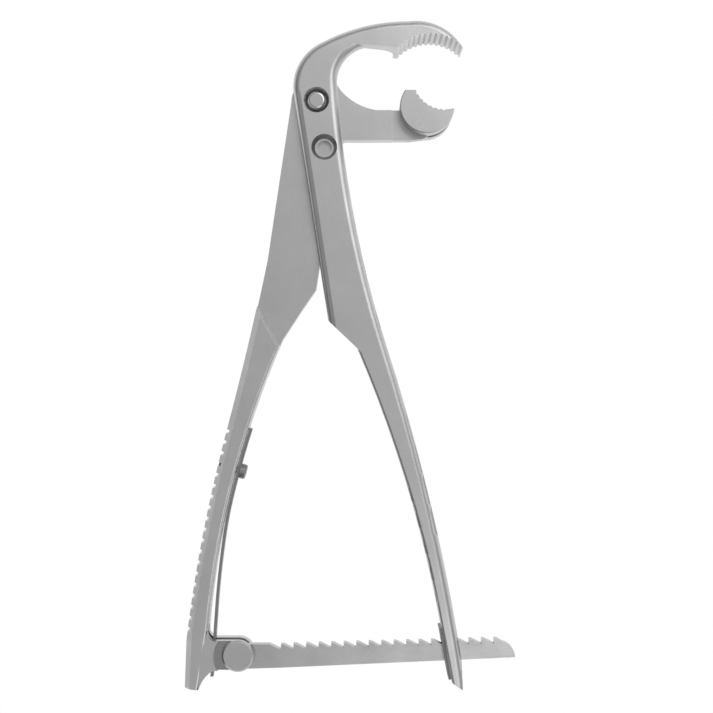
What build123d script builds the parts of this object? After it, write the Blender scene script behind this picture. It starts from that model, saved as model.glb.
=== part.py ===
from build123d import *
import math
import os

# Bone holding forceps, lying flat with the front face up.
# It is drawn about the pivot: +X towards the moving handle, +Y towards the jaws, +Z out of the front.
# At the end every piece is moved so that the origin is under the middle of the whole instrument.

# Layers through the thickness
JAW_DEPTH = 18.0          # both jaws, front to back
BLADE_THICKNESS = 6.0     # each arm where the two cross
LAP_GAP = 0.05            # running gap between the crossed blades
FRONT = JAW_DEPTH
LAP_FRONT = FRONT - BLADE_THICKNESS
LAP_REAR = LAP_FRONT - LAP_GAP
BACK = LAP_REAR - BLADE_THICKNESS
HANDLE_MID = (FRONT + BACK) / 2
REAR_MID = (LAP_REAR + BACK) / 2

# Main lengths, measured from the pivot
CROSSING_LENGTH = 86.0    # pivot down to the shoulders where the handles begin
HANDLE_REACH = 236.5      # pivot down to the handle ends
CLOSING_ANGLE = 17.4      # the moving arm turns this far before the shoulders meet
SEAM_CLEARANCE = 0.35     # gap left at the seams when fully closed

# Pivot and second seat
PIVOT_R = 3.0
RUNNING_GAP = 0.03        # radial gap of every turning fit
SEAT_MOUTH_R = 5.2
SEAT_BORE_R = 3.8
SEAT_CONE_DEPTH = 2.6
SEAT_DEPTH = 3.4
PIVOT_HEAD_R = 3.6
PIVOT_RIM_ROUND = 1.1
PIVOT_HEAD_SUNK = 0.5
SECOND_SEAT = (3.1, -18.9)

# Upper jaw
GRIP_CENTRE = (45.8, 8.3)
GRIP_R = 17.9
UPPER_GROOVE_PITCH = 2.15
UPPER_GROOVE_DEPTH = 0.7
UPPER_GROOVE_COUNT = 13
STEP_X = 31.0             # back corner of the deep jaw block
STEP_R = 6.0              # hollow that runs from the block into the neck

# Swivel jaw
JAW_CENTRE = (44.3, -2.5)
JAW_R = 10.9
BITE_CENTRE = (51.5, 9.0)
BITE_R = 12.85
SWIVEL_PIN = (41.4, -9.8)
SWIVEL_PIN_R = 1.6
SLOT_WIDTH = 4.5
TONGUE_THICKNESS = 4.3
TONGUE_R = 5.0
JAW_WEB = 1.8             # metal left between the slot and the bite
HORN_TOP = 3.9            # height of the blunt horn above the pivot
HORN_LAND = 1.9           # metal that closes the slot under the horn
BITE_GROOVE_DEPTH = 0.5
BITE_GROOVE_TURN = 4.0    # degrees that the grooves are turned towards the horn
JAW_EDGE_BREAK = 0.4
BITE_GROOVE_COUNT = 8
POCKET_X = 30.4           # the lower jaw arm is thinned from here on

# Ratchet bar and its hinge
HINGE_LIFT = 13.7         # bar hinge above the handle ends
BAR_HINGE = (-31.6, HINGE_LIFT - HANDLE_REACH)
BAR_THICKNESS = 3.6
BAR_SIDE_GAP = 0.05
BAR_TOP = 3.9             # above the hinge
BAR_BOTTOM = 6.3          # below the hinge
BAR_RISE = 1.575          # degrees that the toothed edge climbs
BAR_BOTTOM_RISE = 2.55
BAR_REACH = 111.6
TOOTH_PITCH = 5.06
TOOTH_DEPTH = 2.2
TOOTH_COUNT = 18
TOOTH_LAND = 1.2
FIRST_TOOTH = 17.1        # hinge to the first upright tooth face
HINGE_SCREW_R = 2.5
HINGE_HEAD_R = 6.35
HINGE_HEAD_T = 2.0
HINGE_HEAD_CHAMFER = 0.7
EAR_R = 5.85
LEDGE_MARGIN = 3.6        # sunk face around the hinge head
SLOT_BEHIND_SPRING = 2.2  # room for the spring in the bar's slot

# Catch plate and window of the moving handle
PLATE_THICKNESS = 1.0
PLATE_LENGTH = 21.0
WINDOW_ABOVE = 10.4       # window's ends above and below the bar hinge
WINDOW_BELOW = 7.2
WINDOW_GAP = 0.15         # each side of the bar
CATCH_LIFT = 1.2          # catch edge above the tooth tips in this pose
PLATE_START = 1.6         # plate's top above the straight part of the handle

# Leaf spring and its screw
SPRING_THICKNESS = 1.2
SPRING_WIDTH = 3.2
SPRING_HEEL_GAP = 0.3
SPRING_SEAT_GAP = 0.25    # between spring and handle, where it lies on it
SPRING_SEAT_COUNT = 5     # points that the seated part of the spring follows
SPRING_HEAD_R = 3.0
SPRING_HEAD_T = 2.4
SPRING_HEAD_CHAMFER = 0.5
SPRING_SCREW_R = 1.3
FACE_GAP = 0.02           # between flat faces that lie on each other

# Grip teeth on the outer edge of the fixed handle
GRIP_PITCH = 4.5
GRIP_DEPTH = 1.2
GRIP_START = 0.8          # first notch below the waist

# Edges
OUTER_ROUND = 3.0         # outer side of the moving handle, up into the throat of the upper jaw
GRIP_CHAMFER = 2.2        # outer side of the fixed handle
INNER_ROUND = 1.1         # inner side of both handles
CROWN_ROUND = 2.8         # top of the upper jaw
BEVEL_WIDTH = 2.8         # ground bevel along the moving blade
BEVEL_DROP = 0.75
SEAM_CHAMFER = 0.9

# Heights that the outlines hang from
SHOULDER_Y = -CROSSING_LENGTH
END_Y = -HANDLE_REACH


def down_handle(share):
    # Height at this share of the way from the shoulders to the handle ends
    return SHOULDER_Y + share * (END_Y - SHOULDER_Y)


# Moving (front) arm
FRONT_BACK = [(-9.3, 3.0), (-7.8, 13.4), (1.2, 23.0)]
FRONT_CROWN = [(1.2, 23.0), (19.0, 29.8), (37.4, 32.0)]
FRONT_NOSE = [(37.4, 32.0), (50.5, 29.4), (58.8, 21.2)]
CUSP = (32.2, 20.6)
MOUTH_TOP = (19.0, 22.0)
FRONT_OUTER = [(8.1, 7.0), (11.3, -24.2), (28.6, SHOULDER_Y - 14.2), (58.3, END_Y + 11.5)]
FRONT_TIP = [(58.6, END_Y), (54.2, END_Y + 3.1)]
FRONT_INNER = [(50.4, END_Y + 23.3), (34.3, down_handle(0.413)), (16.2, SHOULDER_Y - 13.4)]
FRONT_SHOULDER = [(16.2, SHOULDER_Y - 13.4), (4.6, SHOULDER_Y - 2.4)]

# Fixed (rear) arm
REAR_HEAD = [(-10.4, 0.0), (-1.0, 10.6), (9.5, 5.1)]
REAR_OUTER = [(-20.0, SHOULDER_Y + 22.0), (-29.0, SHOULDER_Y - 18.2), (-36.1, down_handle(0.307)),
              (-52.3, END_Y + 20.3)]
REAR_FOOT = [(-53.0, END_Y + 0.8), (-47.4, END_Y)]
REAR_HEEL = [(-47.4, END_Y), (-45.2, END_Y + 4.5), (-41.6, BAR_HINGE[1] - EAR_R)]
REAR_NECK = [(-43.7, END_Y + 23.5), (-42.8, END_Y + 20.5), (-40.6, BAR_HINGE[1] + EAR_R)]
REAR_INNER = [(-13.9, SHOULDER_Y - 10.1), (-26.25, down_handle(0.28)), (-43.7, END_Y + 23.5)]
REAR_SHOULDER = [(-13.9, SHOULDER_Y - 10.1), (-6.0, SHOULDER_Y + 2.0), (-0.4, SHOULDER_Y + 10.1)]
ARM_TOP = [(9.5, 5.1), (15.2, 0.2), (24.0, -3.0)]
ARM_TOP_Y = ARM_TOP[-1][1]
ARM_BOTTOM_Y = -15.3
ARM_ROOT_X = 9.0

# Leaf spring: its seat on the handle, its screw, and the gap to the handle where it stands free
SPRING_TOP_Y = down_handle(0.303)
SPRING_SCREW_Y = down_handle(0.416)
SPRING_SEAT_END_Y = down_handle(0.518)
SPRING_FREE_GAPS = [(0.78, down_handle(0.621)), (1.62, down_handle(0.757))]
SPRING_FOOT = [(-41.3, END_Y + 19.5), (-42.4, END_Y + 4.5)]


def loop(*edges):
    return make_face(Wire(list(edges)))


def prism(face, low, high):
    return extrude(Pos(0, 0, low) * face, high - low)


def polygon(points, low, high):
    return prism(make_face(Polyline(*points, close=True)), low, high)


def cylinder(centre, radius, low, high):
    return Pos(centre[0], centre[1], (low + high) / 2) * Cylinder(radius, high - low)


def between(a, b):
    return ((a[0] + b[0]) / 2, (a[1] + b[1]) / 2)


def turned(points, degrees):
    c = math.cos(math.radians(degrees))
    s = math.sin(math.radians(degrees))
    return [(x * c - y * s, x * s + y * c) for x, y in points]


def offset(points, distance):
    # Each point moves to the left of the run through its neighbours
    moved = []
    for i, (x, y) in enumerate(points):
        ax, ay = points[max(i - 1, 0)]
        bx, by = points[min(i + 1, len(points) - 1)]
        length = math.hypot(bx - ax, by - ay)
        moved.append((x - (by - ay) / length * distance, y + (bx - ax) / length * distance))
    return moved


def on_arc(arc, y):
    # X where the circle of an arc crosses a height, on the arc's own side
    middle = arc.arc_center
    side = 1 if (arc @ 0.5).X > middle.X else -1
    return middle.X + side * math.sqrt(arc.radius ** 2 - (y - middle.Y) ** 2)


def on_line(points, y):
    # X where a chain of points crosses a height
    for (x1, y1), (x2, y2) in zip(points, points[1:]):
        if min(y1, y2) <= y <= max(y1, y2):
            return x1 + (x2 - x1) * (y - y1) / (y2 - y1)
    return points[-1][0]


def edges_through(part, points, heights):
    # Edges of the flat faces at these heights that pass through one of the points
    marks = [Vertex(x, y, z) for x, y in points for z in heights]
    return [e for e in part.edges() if any(e.distance_to(mark) < 0.01 for mark in marks)]


def grip_ends():
    # Where the toothed arc of the upper jaw meets the cusp and the nose
    cx, cy = GRIP_CENTRE
    left = cx - math.sqrt(GRIP_R ** 2 - (CUSP[1] - cy) ** 2)
    tip = FRONT_NOSE[-1]
    right = cx + math.sqrt(GRIP_R ** 2 - (tip[1] - cy) ** 2)
    return (left, CUSP[1]), (right, tip[1])


def front_outline():
    left, right = grip_ends()
    top = (GRIP_CENTRE[0], GRIP_CENTRE[1] + GRIP_R)
    blade = ThreePointArc(*FRONT_OUTER[:3])
    throat = TangentArc(FRONT_OUTER[0], MOUTH_TOP, tangent=(blade % 0) * -1)
    return loop(
        ThreePointArc(*FRONT_BACK),
        ThreePointArc(*FRONT_CROWN),
        ThreePointArc(*FRONT_NOSE),
        Line(FRONT_NOSE[-1], right),
        ThreePointArc(right, top, left),
        Line(left, MOUTH_TOP),
        throat,
        blade,
        TangentArc(FRONT_OUTER[2], FRONT_OUTER[3], tangent=blade % 1),
        Line(FRONT_OUTER[-1], FRONT_TIP[0]),
        Line(*FRONT_TIP),
        Line(FRONT_TIP[1], FRONT_INNER[0]),
        ThreePointArc(*FRONT_INNER),
        Line(*FRONT_SHOULDER),
        Line(FRONT_SHOULDER[1], FRONT_BACK[0]),
    )


def jaw_block():
    # The deep part of the upper jaw, with the hollow that runs into the thin neck
    block = prism(front_outline(), 0, LAP_FRONT)
    block &= Pos(STEP_X - STEP_R + 50, 60, LAP_FRONT / 2) * Box(100, 88, LAP_FRONT)
    low = -1.0
    cutter = Plane.XZ * loop(
        Line((STEP_X - STEP_R - 1, low), (STEP_X, low)),
        Line((STEP_X, low), (STEP_X, LAP_FRONT - STEP_R)),
        ThreePointArc((STEP_X, LAP_FRONT - STEP_R),
                      (STEP_X - STEP_R * (1 - math.sqrt(0.5)), LAP_FRONT - STEP_R * (1 - math.sqrt(0.5))),
                      (STEP_X - STEP_R, LAP_FRONT)),
        Line((STEP_X - STEP_R, LAP_FRONT), (STEP_X - STEP_R - 1, LAP_FRONT)),
        Line((STEP_X - STEP_R - 1, LAP_FRONT), (STEP_X - STEP_R - 1, low)),
    )
    return block - extrude(cutter, 100, both=True)


def groove_cutters(centre, radius, middle, pitch, count, depth, low, high):
    # Three-cornered grooves across an arc, spread to both sides of its middle direction
    cutters = []
    step = math.degrees(pitch / radius)
    for i in range(count):
        angle = middle + (i - (count - 1) / 2) * step
        groove = [(radius - 0.4, -pitch / 2), (radius + depth, 0), (radius - 0.4, pitch / 2)]
        place = [(centre[0] + x, centre[1] + y) for x, y in turned(groove, angle)]
        cutters.append(polygon(place, low - 1, high + 1))
    return cutters


def seat_cutter(centre, bore_r):
    cone = Pos(centre[0], centre[1], FRONT - SEAT_CONE_DEPTH / 2) \
        * Cone(SEAT_BORE_R, SEAT_MOUTH_R, SEAT_CONE_DEPTH)
    return cone + cylinder(centre, SEAT_BORE_R, FRONT - SEAT_DEPTH, FRONT) \
        + cylinder(centre, bore_r, LAP_FRONT - 1, FRONT)


def bevel(start, end, width, drop, beyond):
    # What lies above a plane that meets the front face this width to the left of the run from start to end
    origin = Vector(*start, 0)
    run = Vector(*end, 0) - origin
    along = run.normalized()
    outside = -2 * width
    wedge = make_face(Polyline((outside, FRONT + (outside - width) * drop / width), (width, FRONT),
                               (width, FRONT + 1), (outside, FRONT + 1), close=True))
    place = Plane(origin=origin - along * beyond, x_dir=Vector(-along.Y, along.X, 0), z_dir=along)
    return extrude(place * wedge, run.length + 2 * beyond)


def catch_height():
    # Lower edge of the catch plate's opening, just above the tooth tips
    run = FRONT_INNER[0][0] - BAR_HINGE[0]
    return BAR_HINGE[1] + BAR_TOP + (run - FIRST_TOOTH) * math.tan(math.radians(BAR_RISE)) + CATCH_LIFT


def window(top, x):
    # Opening for the bar through the moving handle and its catch plate
    low = BAR_HINGE[1] - WINDOW_BELOW
    return Pos(x, (top + low) / 2, HANDLE_MID) * Box(24, top - low, BAR_THICKNESS + 2 * WINDOW_GAP)


def make_front_arm():
    arm = prism(front_outline(), BACK, FRONT)
    arm = fillet(edges_through(arm, [FRONT_OUTER[1]], (FRONT, BACK)), OUTER_ROUND)
    arm = fillet(edges_through(arm, [FRONT_INNER[1]], (FRONT, BACK)), INNER_ROUND)
    arm = fillet(edges_through(arm, [FRONT_BACK[1], FRONT_CROWN[1], FRONT_NOSE[1]], (FRONT,)), CROWN_ROUND)
    arm -= bevel(FRONT_BACK[0], FRONT_SHOULDER[1], BEVEL_WIDTH, BEVEL_DROP, JAW_DEPTH)
    seam = [(x, y - SEAM_CLEARANCE) for x, y in turned(REAR_SHOULDER, CLOSING_ANGLE)]
    low = seam[0][1] - CROSSING_LENGTH
    lap = [(-30, 40), (-30, low), (seam[0][0], low)] + seam
    lap += [(seam[-1][0] + 10, seam[-1][1]), (STEP_X + 60, 40)]
    arm -= polygon(lap, BACK - 1, LAP_FRONT)
    arm += jaw_block()
    for cutter in groove_cutters(GRIP_CENTRE, GRIP_R, 90, UPPER_GROOVE_PITCH, UPPER_GROOVE_COUNT,
                                 UPPER_GROOVE_DEPTH, 0, FRONT):
        arm -= cutter
    arm -= seat_cutter((0, 0), PIVOT_R + RUNNING_GAP)
    arm -= seat_cutter(SECOND_SEAT, PIVOT_R + RUNNING_GAP)
    return arm - window(BAR_HINGE[1] + WINDOW_ABOVE, FRONT_INNER[0][0] + 4)


def make_catch_plate():
    # A hard plate along the inner side of the moving handle, over the window
    top = FRONT_INNER[0]
    end = FRONT_TIP[1]
    lean = math.degrees(math.atan2(end[0] - top[0], top[1] - end[1]))
    plate = Pos(-PLATE_THICKNESS / 2 - FACE_GAP, PLATE_START - PLATE_LENGTH / 2, 0) \
        * Box(PLATE_THICKNESS, PLATE_LENGTH, FRONT - BACK - 2 * INNER_ROUND)
    plate = Pos(top[0], top[1], HANDLE_MID) * Rot(0, 0, lean) * plate
    return plate - window(catch_height(), top[0] + 1)


def rear_outer():
    waist = ThreePointArc(*REAR_OUTER[:3])
    grip = TangentArc(REAR_OUTER[2], REAR_OUTER[3], tangent=waist % 1)
    return Line(REAR_HEAD[0], REAR_OUTER[0]), waist, grip


def rear_outline():
    end_x, pin_y = SWIVEL_PIN
    jaw_x = JAW_CENTRE[0] - JAW_R
    drop = math.sqrt(0.5) * TONGUE_R
    shoulder = (end_x - drop, pin_y + drop)
    root = ARM_ROOT_X - 0.4
    return loop(
        ThreePointArc(*REAR_HEAD),
        ThreePointArc(*ARM_TOP),
        Line(ARM_TOP[-1], (jaw_x, ARM_TOP_Y)),
        Spline((jaw_x, ARM_TOP_Y), shoulder, tangents=[(1, -0.2), (1, 1)]),
        ThreePointArc(shoulder, (end_x + TONGUE_R, pin_y), (end_x, pin_y - TONGUE_R)),
        Line((end_x, pin_y - TONGUE_R), (end_x - 4, ARM_BOTTOM_Y)),
        Line((end_x - 4, ARM_BOTTOM_Y), (root + 3.4, ARM_BOTTOM_Y)),
        ThreePointArc((root + 3.4, ARM_BOTTOM_Y), (root + 1.1, ARM_BOTTOM_Y - 0.9),
                      (root, ARM_BOTTOM_Y - 3)),
        Line((root, ARM_BOTTOM_Y - 3), REAR_SHOULDER[2]),
        Line(REAR_SHOULDER[2], REAR_SHOULDER[1]),
        Line(REAR_SHOULDER[1], REAR_SHOULDER[0]),
        ThreePointArc(*REAR_INNER),
        Line(REAR_INNER[2], REAR_FOOT[1]),
        Line(REAR_FOOT[1], REAR_FOOT[0]),
        Line(REAR_FOOT[0], REAR_OUTER[3]),
        *rear_outer(),
    )


def ear_outline():
    # The lug that carries the bar hinge, rooted inside the handle
    x, y = BAR_HINGE
    inside = REAR_NECK[0][0] - OUTER_ROUND
    return loop(
        ThreePointArc(*REAR_NECK),
        Line(REAR_NECK[2], (x, y + EAR_R)),
        ThreePointArc((x, y + EAR_R), (x + EAR_R, y), (x, y - EAR_R)),
        Line((x, y - EAR_R), REAR_HEEL[2]),
        ThreePointArc(*reversed(REAR_HEEL)),
        Line(REAR_HEEL[0], (inside, y)),
        Line((inside, y), REAR_NECK[0]),
    )


def grip_cutters():
    # Shallow notches square to the outer edge of the fixed handle
    edge = rear_outer()[2]
    notch = [(-2, 0.36), (GRIP_DEPTH, 0.18), (GRIP_DEPTH, -0.1), (-2, -0.24)]
    notch = [(x, share * GRIP_PITCH) for x, share in notch]
    cutters = []
    for i in range(int((edge.length - GRIP_START) / GRIP_PITCH) + 1):
        share = (GRIP_START + i * GRIP_PITCH) / edge.length
        place, down = edge @ share, edge % share
        lean = math.degrees(math.atan2(down.X, -down.Y))
        outline = [(place.X + x, place.Y + y) for x, y in turned(notch, lean)]
        cutters.append(polygon(outline, BACK - 1, FRONT + 1))
    return cutters


def spring_point():
    # Where the spring screw crosses the inner edge of the fixed handle, and the lean of the handle there
    inner = ThreePointArc(*REAR_INNER)
    x = on_arc(inner, SPRING_SCREW_Y)
    middle = inner.arc_center
    return x, math.degrees(math.atan2(SPRING_SCREW_Y - middle.Y, middle.X - x))


def across_handle(shape):
    # Turns a piece drawn along +Z so that +Z runs out of the inner side of the fixed handle at the screw
    x, lean = spring_point()
    return Pos(x, SPRING_SCREW_Y, HANDLE_MID) * Rot(0, 0, -lean) * Rot(0, 90, 0) * shape


def screw_length():
    x, lean = spring_point()
    run = x - on_arc(rear_outer()[2], SPRING_SCREW_Y)
    return run * math.cos(math.radians(lean))


def hinge_cutters():
    # Slot for the bar, the sunk face around the hinge head, and the bore of the hinge screw
    x, y = BAR_HINGE
    low_x = spring_x(y) - SPRING_THICKNESS / 2 - SLOT_BEHIND_SPRING
    high_x = x + 4 * EAR_R
    slot = Pos((low_x + high_x) / 2, y, HANDLE_MID) \
        * Box(high_x - low_x, 4 * EAR_R, BAR_THICKNESS + 2 * BAR_SIDE_GAP)
    ledge = FRONT - HINGE_HEAD_T
    reach = HINGE_HEAD_R + LEDGE_MARGIN
    open_side = Pos(x + reach / 2, y, (ledge + FRONT + 1) / 2) * Box(reach, 2 * reach, FRONT + 1 - ledge)
    bore = cylinder(BAR_HINGE, HINGE_SCREW_R, BACK - 1, FRONT)
    return [slot, cylinder(BAR_HINGE, reach, ledge, FRONT + 1), open_side, bore]


def tongue_cutters():
    # The lower jaw's arm is thinned on both sides to a tongue, and bored for the swivel pin
    cutters = [cylinder(SWIVEL_PIN, SWIVEL_PIN_R + RUNNING_GAP, BACK - 1, FRONT)]
    for side in (1, -1):
        z = REAR_MID + side * (TONGUE_THICKNESS / 2 + 5)
        cutters.append(Pos(POCKET_X + 25, ARM_BOTTOM_Y + 10, z) * Box(50, 40, 10))
    return cutters


def make_rear_arm():
    arm = prism(rear_outline(), BACK, FRONT)
    arm = chamfer(edges_through(arm, [REAR_OUTER[1]], (FRONT, BACK)), GRIP_CHAMFER)
    inner_side = [REAR_INNER[1], between(REAR_INNER[2], REAR_FOOT[1])]
    arm = fillet(edges_through(arm, inner_side, (FRONT, BACK)), INNER_ROUND)
    outer, inner = reversed(turned(FRONT_SHOULDER, -CLOSING_ANGLE))
    across = Vector(outer[0] - inner[0], outer[1] - inner[1]).normalized() * 4 * OUTER_ROUND
    high = (outer[0] + across.X, outer[1] + across.Y - SEAM_CLEARANCE)
    low = (inner[0] - across.X, inner[1] - across.Y - SEAM_CLEARANCE)
    arm -= polygon([(80, 40), (-60, 40), (-60, high[1]), high, low, (80, low[1])], LAP_REAR, FRONT + 1)
    arm -= bevel(low, high, SEAM_CHAMFER, SEAM_CHAMFER, 0)
    arm += prism(ear_outline(), BACK, FRONT)
    arm -= cylinder((0, 0), PIVOT_R, BACK - 1, LAP_REAR + 1)
    for cutter in tongue_cutters() + hinge_cutters() + grip_cutters():
        arm -= cutter
    hole = Pos(0, 0, -screw_length() / 2) * Cylinder(SPRING_SCREW_R, screw_length() + 6)
    return arm - across_handle(hole)


def spring_x(y):
    return on_line(SPRING_FOOT, y)


def spring_centre():
    # The upper part lies on the handle; below it the spring stands free and runs down past the bar's heel
    inner = ThreePointArc(*REAR_INNER)
    free = [(on_arc(inner, y) + SPRING_THICKNESS / 2 + gap, y) for gap, y in SPRING_FREE_GAPS]
    seated = []
    for i in range(SPRING_SEAT_COUNT):
        y = SPRING_TOP_Y + i / (SPRING_SEAT_COUNT - 1) * (SPRING_SEAT_END_Y - SPRING_TOP_Y)
        seated.append((on_arc(inner, y), y))
    return offset(seated, SPRING_THICKNESS / 2 + SPRING_SEAT_GAP) + free + SPRING_FOOT


def make_leaf_spring():
    centre = spring_centre()
    left = offset(centre, SPRING_THICKNESS / 2)
    right = offset(centre, -SPRING_THICKNESS / 2)
    face = loop(Spline(*left), Line(left[-1], right[-1]), Spline(*reversed(right)), Line(right[0], left[0]))
    spring = prism(face, HANDLE_MID - SPRING_WIDTH / 2, HANDLE_MID + SPRING_WIDTH / 2)
    return spring - across_handle(Cylinder(SPRING_SCREW_R, 12))


def make_spring_screw():
    seat = SPRING_THICKNESS + SPRING_SEAT_GAP + 0.1
    head = Pos(0, 0, seat + SPRING_HEAD_T / 2) * Cylinder(SPRING_HEAD_R, SPRING_HEAD_T)
    head = chamfer(head.edges().group_by(Axis.Z)[-1], SPRING_HEAD_CHAMFER)
    shank = Pos(0, 0, (seat - screw_length()) / 2) * Cylinder(SPRING_SCREW_R, seat + screw_length())
    return across_handle(head + shank)


def make_pivot_screw():
    low = FRONT - SEAT_DEPTH
    head = cylinder((0, 0), PIVOT_HEAD_R, low, FRONT - PIVOT_HEAD_SUNK)
    head = fillet(head.edges().group_by(Axis.Z)[-1], PIVOT_RIM_ROUND)
    return head + cylinder((0, 0), PIVOT_R, BACK, low)


def swivel_outline():
    disc = Pos(*JAW_CENTRE) * Circle(JAW_R)
    bite = Pos(*BITE_CENTRE) * Circle(BITE_R)
    below = Pos(JAW_CENTRE[0], HORN_TOP - 30) * Rectangle(60, 60)
    return (disc - bite) & below


def bite_middle():
    return math.degrees(math.atan2(JAW_CENTRE[1] - BITE_CENTRE[1], JAW_CENTRE[0] - BITE_CENTRE[0]))


def make_swivel_jaw():
    jaw = prism(swivel_outline(), 0, JAW_DEPTH)
    lowest = (JAW_CENTRE[0], JAW_CENTRE[1] - JAW_R)
    jaw = chamfer(edges_through(jaw, [lowest], (0, JAW_DEPTH)), JAW_EDGE_BREAK)
    room = prism(Pos(*JAW_CENTRE) * Circle(JAW_R + 5) - Pos(*BITE_CENTRE) * Circle(BITE_R + JAW_WEB),
                 REAR_MID - SLOT_WIDTH / 2, REAR_MID + SLOT_WIDTH / 2)
    room &= Pos(JAW_CENTRE[0], HORN_TOP - HORN_LAND - 30, REAR_MID) * Box(60, 60, SLOT_WIDTH)
    jaw -= room
    for cutter in groove_cutters(BITE_CENTRE, BITE_R, bite_middle() - BITE_GROOVE_TURN, UPPER_GROOVE_PITCH,
                                 BITE_GROOVE_COUNT, BITE_GROOVE_DEPTH, 0, JAW_DEPTH):
        jaw -= cutter
    return jaw - cylinder(SWIVEL_PIN, SWIVEL_PIN_R, -1, JAW_DEPTH + 1)


def make_swivel_pin():
    return cylinder(SWIVEL_PIN, SWIVEL_PIN_R, 0, JAW_DEPTH)


def bar_outline():
    # Drawn about its hinge with the bar lying along +X
    heel = -(spring_x(BAR_HINGE[1]) - BAR_HINGE[0] + SPRING_THICKNESS / 2) - SPRING_HEEL_GAP
    slope = math.tan(math.radians(BAR_RISE))
    low_slope = math.tan(math.radians(BAR_BOTTOM_RISE))
    top = [(FIRST_TOOTH - 4.6, BAR_TOP)]
    for i in range(TOOTH_COUNT):
        x = FIRST_TOOTH + i * TOOTH_PITCH
        tip = BAR_TOP + i * TOOTH_PITCH * slope
        top.append((x, tip - TOOTH_DEPTH))
        top.append((x, tip))
        top.append((x + TOOTH_LAND, tip - 0.1))
    last = FIRST_TOOTH + (TOOTH_COUNT - 1) * TOOTH_PITCH
    end_low = -BAR_BOTTOM + BAR_REACH * low_slope
    nose = (last + 3.4, BAR_TOP + (TOOTH_COUNT - 1) * TOOTH_PITCH * slope - 1.4)
    heel_high = (-math.sqrt(heel ** 2 - BAR_TOP ** 2), BAR_TOP)
    heel_low = (-math.sqrt(heel ** 2 - BAR_BOTTOM ** 2), -BAR_BOTTOM)
    outline = [Line(heel_high, top[0]), Line(top[0], top[1])]
    outline += [Line(a, b) for a, b in zip(top[1:], top[2:])]
    outline.append(Line(top[-1], nose))
    outline.append(ThreePointArc(nose, (BAR_REACH - 1.6, end_low + 4.2), (BAR_REACH, end_low)))
    outline.append(Line((BAR_REACH, end_low), (FIRST_TOOTH, -BAR_BOTTOM + FIRST_TOOTH * low_slope)))
    outline.append(Line((FIRST_TOOTH, -BAR_BOTTOM + FIRST_TOOTH * low_slope), heel_low))
    outline.append(ThreePointArc(heel_low, (-heel, 0), heel_high))
    return loop(*outline)


def make_ratchet_bar():
    half = BAR_THICKNESS / 2
    bar = Pos(BAR_HINGE[0], BAR_HINGE[1]) * prism(bar_outline(), HANDLE_MID - half, HANDLE_MID + half)
    return bar - cylinder(BAR_HINGE, HINGE_SCREW_R + RUNNING_GAP, BACK, FRONT)


def make_hinge_screw():
    head = cylinder(BAR_HINGE, HINGE_HEAD_R, FRONT - HINGE_HEAD_T, FRONT)
    head = chamfer(head.edges().group_by(Axis.Z)[-1], HINGE_HEAD_CHAMFER)
    return head + cylinder(BAR_HINGE, HINGE_SCREW_R, BACK, FRONT - HINGE_HEAD_T)


PIECES = {
    "front_arm": make_front_arm,
    "catch_plate": make_catch_plate,
    "rear_arm": make_rear_arm,
    "pivot_screw": make_pivot_screw,
    "swivel_jaw": make_swivel_jaw,
    "swivel_pin": make_swivel_pin,
    "ratchet_bar": make_ratchet_bar,
    "bar_hinge_screw": make_hinge_screw,
    "leaf_spring": make_leaf_spring,
    "spring_screw": make_spring_screw,
}


def main():
    os.makedirs("parts", exist_ok=True)
    made = {name: make() for name, make in PIECES.items()}
    box = Compound(children=[Part() + piece for piece in made.values()]).bounding_box()
    shift = Pos(-(box.min.X + box.max.X) / 2, -(box.min.Y + box.max.Y) / 2, -box.min.Z)
    for name, piece in made.items():
        export_step(shift * piece, "parts/" + name + ".step")
    print("pivot at", round(shift.position.X, 3), round(shift.position.Y, 3))
    print("size", box.size)


main()
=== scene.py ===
import math

import bpy
import numpy as np
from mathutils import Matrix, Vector


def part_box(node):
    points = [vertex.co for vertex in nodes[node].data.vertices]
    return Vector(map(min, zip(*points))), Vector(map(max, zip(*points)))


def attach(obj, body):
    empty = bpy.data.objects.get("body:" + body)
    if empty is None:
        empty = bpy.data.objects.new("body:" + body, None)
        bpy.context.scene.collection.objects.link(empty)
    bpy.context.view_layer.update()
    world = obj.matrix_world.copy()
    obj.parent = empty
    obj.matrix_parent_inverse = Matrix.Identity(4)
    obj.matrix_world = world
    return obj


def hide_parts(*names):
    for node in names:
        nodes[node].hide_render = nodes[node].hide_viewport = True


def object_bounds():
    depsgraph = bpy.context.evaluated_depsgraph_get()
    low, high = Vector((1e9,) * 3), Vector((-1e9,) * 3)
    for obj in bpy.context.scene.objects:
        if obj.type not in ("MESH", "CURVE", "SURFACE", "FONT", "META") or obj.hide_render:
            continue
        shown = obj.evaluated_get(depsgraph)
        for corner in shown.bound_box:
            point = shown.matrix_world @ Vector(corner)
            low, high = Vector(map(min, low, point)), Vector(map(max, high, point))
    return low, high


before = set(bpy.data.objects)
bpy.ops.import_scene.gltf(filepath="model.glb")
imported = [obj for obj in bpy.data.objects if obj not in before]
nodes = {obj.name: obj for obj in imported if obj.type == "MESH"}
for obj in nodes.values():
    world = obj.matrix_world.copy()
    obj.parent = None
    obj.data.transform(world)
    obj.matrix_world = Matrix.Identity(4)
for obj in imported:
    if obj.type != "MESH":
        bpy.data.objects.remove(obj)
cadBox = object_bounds()
mm = 0.001
print("frame loaded:", len(nodes), "nodes")


def linear(hexColour):
    # sRGB hex to linear light
    parts = [int(hexColour[i:i + 2], 16) / 255 for i in (1, 3, 5)]
    return tuple(c / 12.92 if c <= 0.04045 else ((c + 0.055) / 1.055) ** 2.4 for c in parts) + (1.0,)


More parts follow.
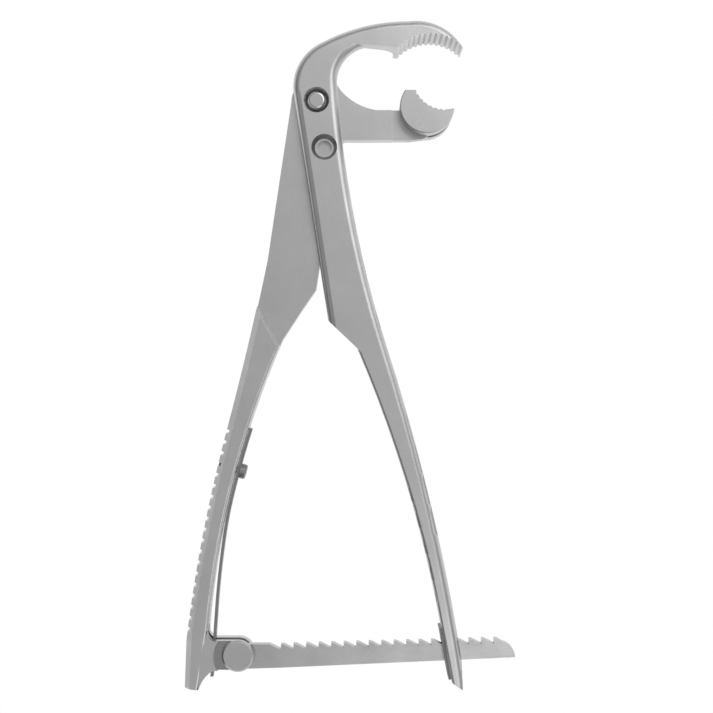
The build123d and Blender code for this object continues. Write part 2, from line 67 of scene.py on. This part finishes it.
def addNode(tree, kind, inputs=None, **settings):
    # One node with its settings. An input is a value, or the output of another node that is linked into it
    node = tree.nodes.new(kind)
    for key, value in settings.items():
        setattr(node, key, value)
    for socket, value in (inputs or {}).items():
        target = node.inputs[socket]
        if isinstance(value, bpy.types.NodeSocket):
            tree.links.new(value, target)
        else:
            target.default_value = value
    return node


def newMaterial(name):
    material = bpy.data.materials.new(name)
    material.use_nodes = True
    material.node_tree.nodes.clear()
    return material, material.node_tree


# What all the steel finishes share. The two tones are the noise values at which a finish is darkest and
# lightest. A face counts as level, and an edge as rubbed and painted with a highlight, between the two
# cosines given.
steel = {"tones": (0.32, 0.68), "cloudShare": 0.5, "glossSpread": 0.05, "reliefMm": 0.02, "shadedStepBandMm": 0.3,
         "level": (0.9, 0.97), "rubbedEdgeAndHighlight": (0.995, 0.9), "bevelSamples": 6}


def groundSteel(name, look):
    # Steel that is ground and blasted. Belt grinding leaves fine lines along the piece, and blasting leaves a
    # stipple of small dents over them, so the gloss is soft and broad. Both are drawn coarser than the real
    # 0.02 mm and 0.1 mm, so that they show. Handling clouds it in patches a couple of centimetres across, and
    # its sharp edges are rubbed bright, drawn in a lighter colour that is partly wear and partly a painted
    # highlight. The level faces of the step under the hinge head get a painted shade: a darker colour.
    material, tree = newMaterial(name)
    place = addNode(tree, "ShaderNodeTexCoord").outputs["Object"]
    shape = addNode(tree, "ShaderNodeNewGeometry")
    turned = addNode(tree, "ShaderNodeMapping",
                     {"Vector": place, "Rotation": (0, 0, math.radians(look["turn"]))})
    per = 1 / (look["grainMm"] * mm)
    squeezed = addNode(tree, "ShaderNodeMapping",
                       {"Vector": turned.outputs[0], "Scale": (per, per / look["grainLength"], per)})
    grain = addNode(tree, "ShaderNodeTexNoise", {"Vector": squeezed.outputs[0], "Scale": 1.0, "Detail": 3.0,
                                                 "Roughness": 0.6})
    beads = addNode(tree, "ShaderNodeTexNoise", {"Vector": place, "Scale": 1 / (look["beadMm"] * mm),
                                                 "Detail": 2.0, "Roughness": 0.55})
    clouds = addNode(tree, "ShaderNodeTexNoise", {"Vector": place, "Scale": 1 / (look["cloudMm"] * mm),
                                                  "Detail": 3.0, "Roughness": 0.6})
    surface = addNode(tree, "ShaderNodeMix", {"Factor": look["blast"], "A": grain.outputs["Fac"],
                                              "B": beads.outputs["Fac"]}, data_type="FLOAT")
    tone = addNode(tree, "ShaderNodeMix", {"Factor": steel["cloudShare"], "A": surface.outputs[0],
                                           "B": clouds.outputs["Fac"]}, data_type="FLOAT")
    shade = addNode(tree, "ShaderNodeValToRGB", {"Fac": tone.outputs[0]})
    tones = zip(steel["tones"], (look["dark"], look["colour"]))
    for stop, (position, colour) in zip(shade.color_ramp.elements, tones):
        stop.position = position
        stop.color = linear(colour)

    # Painted shade on the step under the hinge head: its faces that look up at that height are drawn darker
    apart = addNode(tree, "ShaderNodeSeparateXYZ", {"Vector": place})
    facing = addNode(tree, "ShaderNodeSeparateXYZ", {"Vector": shape.outputs["True Normal"]})
    sunk = addNode(tree, "ShaderNodeMath", {0: apart.outputs["Z"], 1: look["shadedStepAtMm"] * mm,
                                            2: steel["shadedStepBandMm"] * mm}, operation="COMPARE")
    level = addNode(tree, "ShaderNodeMapRange", {"Value": facing.outputs["Z"], "From Min": steel["level"][0],
                                                 "From Max": steel["level"][1]})
    paintedStepShade = addNode(tree, "ShaderNodeMath", {0: sunk.outputs[0], 1: level.outputs[0]}, operation="MULTIPLY")
    shaded = addNode(tree, "ShaderNodeMix", {"Factor": paintedStepShade.outputs[0], "A": shade.outputs[0],
                                             "B": linear(look["paintedStepShade"])}, data_type="RGBA")

    # Rubbed edges, drawn in a lighter colour that is partly wear and partly a painted highlight: where the
    # normal of a rounded edge leaves the normal of the face
    rounded = addNode(tree, "ShaderNodeBevel", {"Radius": look["edgeMm"] * mm},
                      samples=steel["bevelSamples"])
    same = addNode(tree, "ShaderNodeVectorMath", {0: rounded.outputs[0], 1: shape.outputs["Normal"]},
                   operation="DOT_PRODUCT")
    wearAndHighlight = addNode(tree, "ShaderNodeMapRange", {"Value": same.outputs["Value"],
                                                "From Min": steel["rubbedEdgeAndHighlight"][0],
                                                "From Max": steel["rubbedEdgeAndHighlight"][1]})
    patchy = addNode(tree, "ShaderNodeMath", {0: wearAndHighlight.outputs[0], 1: clouds.outputs["Fac"]},
                     operation="MULTIPLY")
    colour = addNode(tree, "ShaderNodeMix", {"Factor": patchy.outputs[0], "A": shaded.outputs[2],
                                             "B": linear(look["rubbedAndHighlight"])}, data_type="RGBA")
    rough = addNode(tree, "ShaderNodeMapRange", {"Value": tone.outputs[0], "From Min": steel["tones"][0],
                                                 "From Max": steel["tones"][1],
                                                 "To Min": look["roughness"] + steel["glossSpread"],
                                                 "To Max": look["roughness"] - steel["glossSpread"]})
    relief = addNode(tree, "ShaderNodeBump", {"Height": surface.outputs[0], "Strength": look["relief"],
                                              "Distance": steel["reliefMm"] * mm})
    shader = addNode(tree, "ShaderNodeBsdfPrincipled", {"Base Color": colour.outputs[2], "Metallic": 1.0,
                                                        "Roughness": rough.outputs[0],
                                                        "Normal": relief.outputs[0]})
    addNode(tree, "ShaderNodeOutputMaterial", {"Surface": shader.outputs[0]})
    return material


# Both arms: ground along the handles, then lightly blasted. The step under the hinge head lies 16 mm up,
# in the foot, and its level faces get a painted shade.
arms = {"colour": "#cdcdcd", "dark": "#bcbcbc", "rubbedAndHighlight": "#efefef", "paintedStepShade": "#9a9a9a", "roughness": 0.34,
        "grainMm": 0.22, "grainLength": 26.0, "beadMm": 0.5, "cloudMm": 16.0, "blast": 0.45, "relief": 0.24,
        "edgeMm": 0.35, "turn": 0.0, "shadedStepAtMm": 16.0}
armSteel = groundSteel("stainless steel, ground along and blasted", arms)

noStep = -5.0  # a height in mm below the whole part, for the pieces that get no painted step shade

# Swivel jaw and its pin: blasted more than ground, so an even matt grey with hardly any lines
jaw = {**arms, "colour": "#cacaca", "dark": "#b9b9b9", "blast": 0.8, "grainLength": 8.0, "beadMm": 0.4,
       "relief": 0.2, "turn": 90.0, "shadedStepAtMm": noStep}
jawSteel = groundSteel("stainless steel, blasted", jaw)

# Toothed bar: ground along its own length, and the fine lines follow it
bar = {**arms, "colour": "#c6c6c6", "dark": "#b2b2b2", "turn": 88.0, "shadedStepAtMm": noStep, "edgeMm": 0.25}
barSteel = groundSteel("stainless steel, ground bar", bar)

# Pivot screw: polished, so its rim mirrors the lights
screw = {**arms, "colour": "#d2d2d2", "dark": "#bfbfbf", "roughness": 0.2, "blast": 0.9, "relief": 0.1,
         "grainLength": 3.0, "edgeMm": 0.15, "shadedStepAtMm": noStep}
screwSteel = groundSteel("stainless steel, turned and polished", screw)

# Bar hinge screw: turned, then blasted like the arms, so its wide head is matt
hinge = {**arms, "colour": "#c6c6c6", "dark": "#b4b4b4", "blast": 0.7, "grainLength": 4.0,
         "shadedStepAtMm": noStep}
hingeSteel = groundSteel("stainless steel, turned and blasted", hinge)

# Leaf spring with its screw, and the catch plate: hardened, a darker grey
spring = {**arms, "colour": "#9c9c9c", "dark": "#868686", "rubbedAndHighlight": "#c8c8c8", "roughness": 0.4, "blast": 0.3,
          "grainMm": 0.18, "edgeMm": 0.15, "shadedStepAtMm": noStep}
springSteel = groundSteel("spring steel, drawn and hardened", spring)
catch = {**spring, "colour": "#7c7c7c", "dark": "#6a6a6a"}
catchSteel = groundSteel("hardened steel, ground dark", catch)

finishes = {
    "front_arm": armSteel, "rear_arm": armSteel, "catch_plate": catchSteel, "pivot_screw": screwSteel,
    "swivel_jaw": jawSteel, "swivel_pin": jawSteel, "ratchet_bar": barSteel, "bar_hinge_screw": hingeSteel,
    "leaf_spring": springSteel, "spring_screw": springSteel,
}
for name, material in finishes.items():
    mesh = nodes[name].data
    mesh.materials.clear()
    mesh.materials.append(material)
print("finishes given to", len(finishes), "pieces")

# The rounded edges of both arms. Each lies along an arc of the plan, given by three points in millimetres
# from the pivot, or by two points and the number of the arc that it goes on from. Outside is 1 where the
# metal is on the side of the arc's centre, and -1 where it is beyond the arc. Faces are 1 for the front and
# -1 for the back.
frontRounds = [
    {"arc": ((8.1, 7.0), (11.3, -24.2), (28.6, -100.2)), "outside": -1, "round": 3.0, "faces": (1, -1)},
    {"arc": ((8.1, 7.0), None, (19.0, 22.0)), "follows": 0, "outside": -1, "round": 3.0, "faces": (1, -1)},
    {"arc": ((28.6, -100.2), None, (58.3, -225.0)), "follows": 0, "outside": 1, "round": 3.0,
     "faces": (1, -1)},
    {"arc": ((50.4, -213.2), (34.3, -148.157), (16.2, -99.4)), "outside": -1, "round": 1.1, "faces": (1, -1)},
    {"arc": ((-9.3, 3.0), (-7.8, 13.4), (1.2, 23.0)), "outside": 1, "round": 2.8, "faces": (1,)},
    {"arc": ((1.2, 23.0), (19.0, 29.8), (37.4, 32.0)), "outside": 1, "round": 2.8, "faces": (1,)},
    {"arc": ((37.4, 32.0), (50.5, 29.4), (58.8, 21.2)), "outside": 1, "round": 2.8, "faces": (1,)},
]
rearRounds = [
    {"arc": ((-13.9, -96.1), (-26.25, -128.14), (-43.7, -213.0)), "outside": -1, "round": 1.1,
     "faces": (1, -1)},
]
armLevels = {1: 18.0, -1: 5.95}  # heights of the handles' front and back faces, in mm

# How near a point lies to a rounding's formula when it is part of it, in mm
nearness = {"beside": 0.5, "off": 0.06, "edge": 0.01, "inside": 0.02, "level": 0.001}


def circleThrough(a, b, c):
    # Centre of the circle through three points of the plan
    a, b, c = (np.array(p, dtype=float) for p in (a, b, c))
    rows = np.array([b - a, c - a])
    return a + np.linalg.solve(2 * rows, (rows ** 2).sum(axis=1))


def circleOnwards(start, centre, end):
    # Centre of the arc that goes on from another arc's end without a corner: on the same radius line, and as
    # far from the new end as from the start
    start, end = np.array(start, dtype=float), np.array(end, dtype=float)
    along = (centre - start) / np.linalg.norm(centre - start)
    chord = end - start
    return start + along * (chord @ chord) / (2 * chord @ along)


def smoothRounds(arm, rounds, copyName):
    # The arm's own mesh, with the true normals along its rounded edges. A point at height h up a rounding of
    # radius r leans out by the root of r squared less h squared, along the line from the arc's centre.
    mesh = nodes[arm].data.copy()
    low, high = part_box("pivot_screw")
    count = len(mesh.vertices)
    points = np.empty(count * 3)
    mesh.vertices.foreach_get("co", points)
    points = points.reshape(count, 3) / mm
    points[:, :2] -= np.array((low + high)[:2]) / 2 / mm
    corners = np.empty(len(mesh.loops), dtype=int)
    mesh.loops.foreach_get("vertex_index", corners)
    faces = corners.reshape(-1, 3)
    normals = np.empty(len(mesh.loops) * 3)
    mesh.corner_normals.foreach_get("vector", normals)
    normals = normals.reshape(-1, 3, 3)

    # Level faces keep a level normal, so that no rounding shades them
    ends = points[faces]
    sides = np.cross(ends[:, 1] - ends[:, 0], ends[:, 2] - ends[:, 0])
    level = np.ptp(ends[:, :, 2], axis=1) < nearness["level"]
    normals[level] = 0.0
    normals[level, :, 2] = np.sign(sides[level, 2])[:, None]

    # Each rounding gets the normals of its formula
    centres = []
    for piece in rounds:
        start, via, end = piece["arc"]
        if via:
            centre = circleThrough(start, via, end)
        else:
            centre = circleOnwards(start, centres[piece["follows"]], end)
        centres.append(centre)
        out = points[:, :2] - centre
        far = np.linalg.norm(out, axis=1)
        out = out / far[:, None] * piece["outside"]
        r = piece["round"]
        lean = r - piece["outside"] * (np.linalg.norm(np.array(start) - centre) - far)
        spare = r + nearness["beside"]
        lowest, highest = np.minimum(start, end) - spare, np.maximum(start, end) + spare
        within = ((points[:, :2] > lowest) & (points[:, :2] < highest)).all(axis=1)
        for face in piece["faces"]:
            up = r + face * (points[:, 2] - armLevels[face])
            on = within & (abs(np.hypot(lean, up) - r) < nearness["off"])
            on &= (lean > -nearness["edge"]) & (up > -nearness["edge"])
            inside = on & (lean > nearness["inside"]) & (up > nearness["inside"])
            rounded = on[faces].all(axis=1) & inside[faces].any(axis=1)
            true = np.column_stack([out * lean[:, None] / r, face * up / r])
            normals[rounded] = true[faces[rounded]]
    mesh.normals_split_custom_set(normals.reshape(-1, 3))
    smoothArm = bpy.data.objects.new(copyName, mesh)
    bpy.context.scene.collection.objects.link(smoothArm)
    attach(smoothArm, arm)
    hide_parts(arm)


smoothRounds("front_arm", frontRounds, "movingArm")
smoothRounds("rear_arm", rearRounds, "fixedArm")
print("rounded edges smoothed on both arms")

# The floor: matt white paper. The camera and the steel see it as plain white, so it shows no shadow.
floorLook = {"paper": "#fafafa", "halfMm": 2000.0, "belowMm": 0.2}


def makeFloor():
    material, tree = newMaterial("white paper")
    path = addNode(tree, "ShaderNodeLightPath")
    direct = addNode(tree, "ShaderNodeMath", {0: path.outputs["Is Camera Ray"],
                                              1: path.outputs["Is Glossy Ray"]}, operation="MAXIMUM")
    seen = addNode(tree, "ShaderNodeMath", {0: direct.outputs[0], 1: path.outputs["Is Transmission Ray"]},
                   operation="MAXIMUM")
    paper = addNode(tree, "ShaderNodeBsdfDiffuse", {"Color": linear(floorLook["paper"])})
    glow = addNode(tree, "ShaderNodeEmission", {"Color": (1, 1, 1, 1), "Strength": 1.0})
    mix = addNode(tree, "ShaderNodeMixShader", {0: seen.outputs[0], 1: paper.outputs[0], 2: glow.outputs[0]})
    addNode(tree, "ShaderNodeOutputMaterial", {"Surface": mix.outputs[0]})
    half = floorLook["halfMm"] * mm
    z = cadBox[0][2] - floorLook["belowMm"] * mm
    mesh = bpy.data.meshes.new("floor")
    corners = [(-half, -half, z), (half, -half, z), (half, half, z), (-half, half, z)]
    mesh.from_pydata(corners, [], [(0, 1, 2, 3)])
    mesh.materials.append(material)
    floor = bpy.data.objects.new("floor", mesh)
    bpy.context.scene.collection.objects.link(floor)


makeFloor()

# Two large soft lamps, in metres and watts
lamps = {
    "keyLamp": {"place": (0.48, 0.55, 0.80), "aim": (0, 0.05, 0), "size": 0.9, "power": 3.3},
    "fillLamp": {"place": (0.30, -0.50, 0.75), "aim": (0.03, -0.1, 0), "size": 0.6, "power": 1.1},
}

# The room that the steel reflects: pale at the horizon, grey half way up, lighter again overhead, and darker
# to the lower left. Each band has the sine of its angle above the floor, and the dark side comes in between
# two cosines of the angle from its middle.
room = {"bands": ((0.1, "#f4f4f4"), (0.55, "#8f8f8f"), (0.97, "#cacaca")), "darkSide": "#7a7a7a",
        "towardsDark": (-0.86, -0.5, 0.0), "darkFrom": 0.15, "darkTo": 0.8, "strength": 1.0}


def lightTheStudio():
    for name, lamp in lamps.items():
        data = bpy.data.lights.new(name, "AREA")
        data.size = lamp["size"]
        data.energy = lamp["power"]
        light = bpy.data.objects.new(name, data)
        bpy.context.scene.collection.objects.link(light)
        light.location = lamp["place"]
        towards = Vector(lamp["aim"]) - Vector(lamp["place"])
        light.rotation_euler = towards.to_track_quat("-Z", "Y").to_euler()
    world = bpy.data.worlds.new("studio")
    bpy.context.scene.world = world
    world.use_nodes = True
    tree = world.node_tree
    tree.nodes.clear()
    path = addNode(tree, "ShaderNodeLightPath")
    seen = addNode(tree, "ShaderNodeMath", {0: path.outputs["Is Camera Ray"],
                                            1: path.outputs["Is Transmission Ray"]}, operation="MAXIMUM")
    direction = addNode(tree, "ShaderNodeTexCoord").outputs["Object"]
    split = addNode(tree, "ShaderNodeSeparateXYZ", {"Vector": direction})
    ramp = addNode(tree, "ShaderNodeValToRGB", {"Fac": split.outputs["Z"]})
    ramp.color_ramp.elements.new(0.5)
    for stop, (height, colour) in zip(ramp.color_ramp.elements, room["bands"]):
        stop.position = height
        stop.color = linear(colour)
    away = addNode(tree, "ShaderNodeVectorMath", {0: direction, 1: room["towardsDark"]},
                   operation="DOT_PRODUCT")
    dim = addNode(tree, "ShaderNodeMapRange", {"Value": away.outputs["Value"], "From Min": room["darkFrom"],
                                               "From Max": room["darkTo"]})
    sides = addNode(tree, "ShaderNodeMix", {"Factor": dim.outputs[0], "A": ramp.outputs[0],
                                            "B": linear(room["darkSide"])}, data_type="RGBA")
    sky = addNode(tree, "ShaderNodeBackground", {"Color": sides.outputs[2], "Strength": room["strength"]})
    white = addNode(tree, "ShaderNodeBackground", {"Color": (1, 1, 1, 1), "Strength": 1.0})
    mix = addNode(tree, "ShaderNodeMixShader", {0: seen.outputs[0], 1: sky.outputs[0], 2: white.outputs[0]})
    addNode(tree, "ShaderNodeOutputWorld", {"Surface": mix.outputs[0]})


lightTheStudio()

# The photograph's frame: its scale on the front face, and the pixel where the pivot screw lies
photo = {"pixels": 713, "mmPerPixel": 0.4, "distanceMm": 500, "pivotPixel": (316.5, 99.5), "sensorMm": 36.0,
         "clipMm": 10}


def placeCamera():
    # Straight down on the front face, at the distance that gives the photograph's scale there
    data = bpy.data.cameras.new("photoCamera")
    data.sensor_width = photo["sensorMm"]
    data.sensor_fit = "HORIZONTAL"
    data.lens = photo["sensorMm"] * photo["distanceMm"] / (photo["pixels"] * photo["mmPerPixel"])
    data.clip_start = photo["clipMm"] * mm
    eye = bpy.data.objects.new("photoCamera", data)
    bpy.context.scene.collection.objects.link(eye)
    bpy.context.scene.camera = eye
    low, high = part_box("pivot_screw")
    pivot = (low + high) / 2
    middle = photo["pixels"] / 2
    scale = photo["mmPerPixel"] * mm
    x = pivot.x + (middle - photo["pivotPixel"][0]) * scale
    y = pivot.y - (middle - photo["pivotPixel"][1]) * scale
    eye.location = (x, y, cadBox[1][2] + photo["distanceMm"] * mm)


placeCamera()
bpy.context.scene.view_settings.view_transform = "Standard"
print("floor, light and camera set")
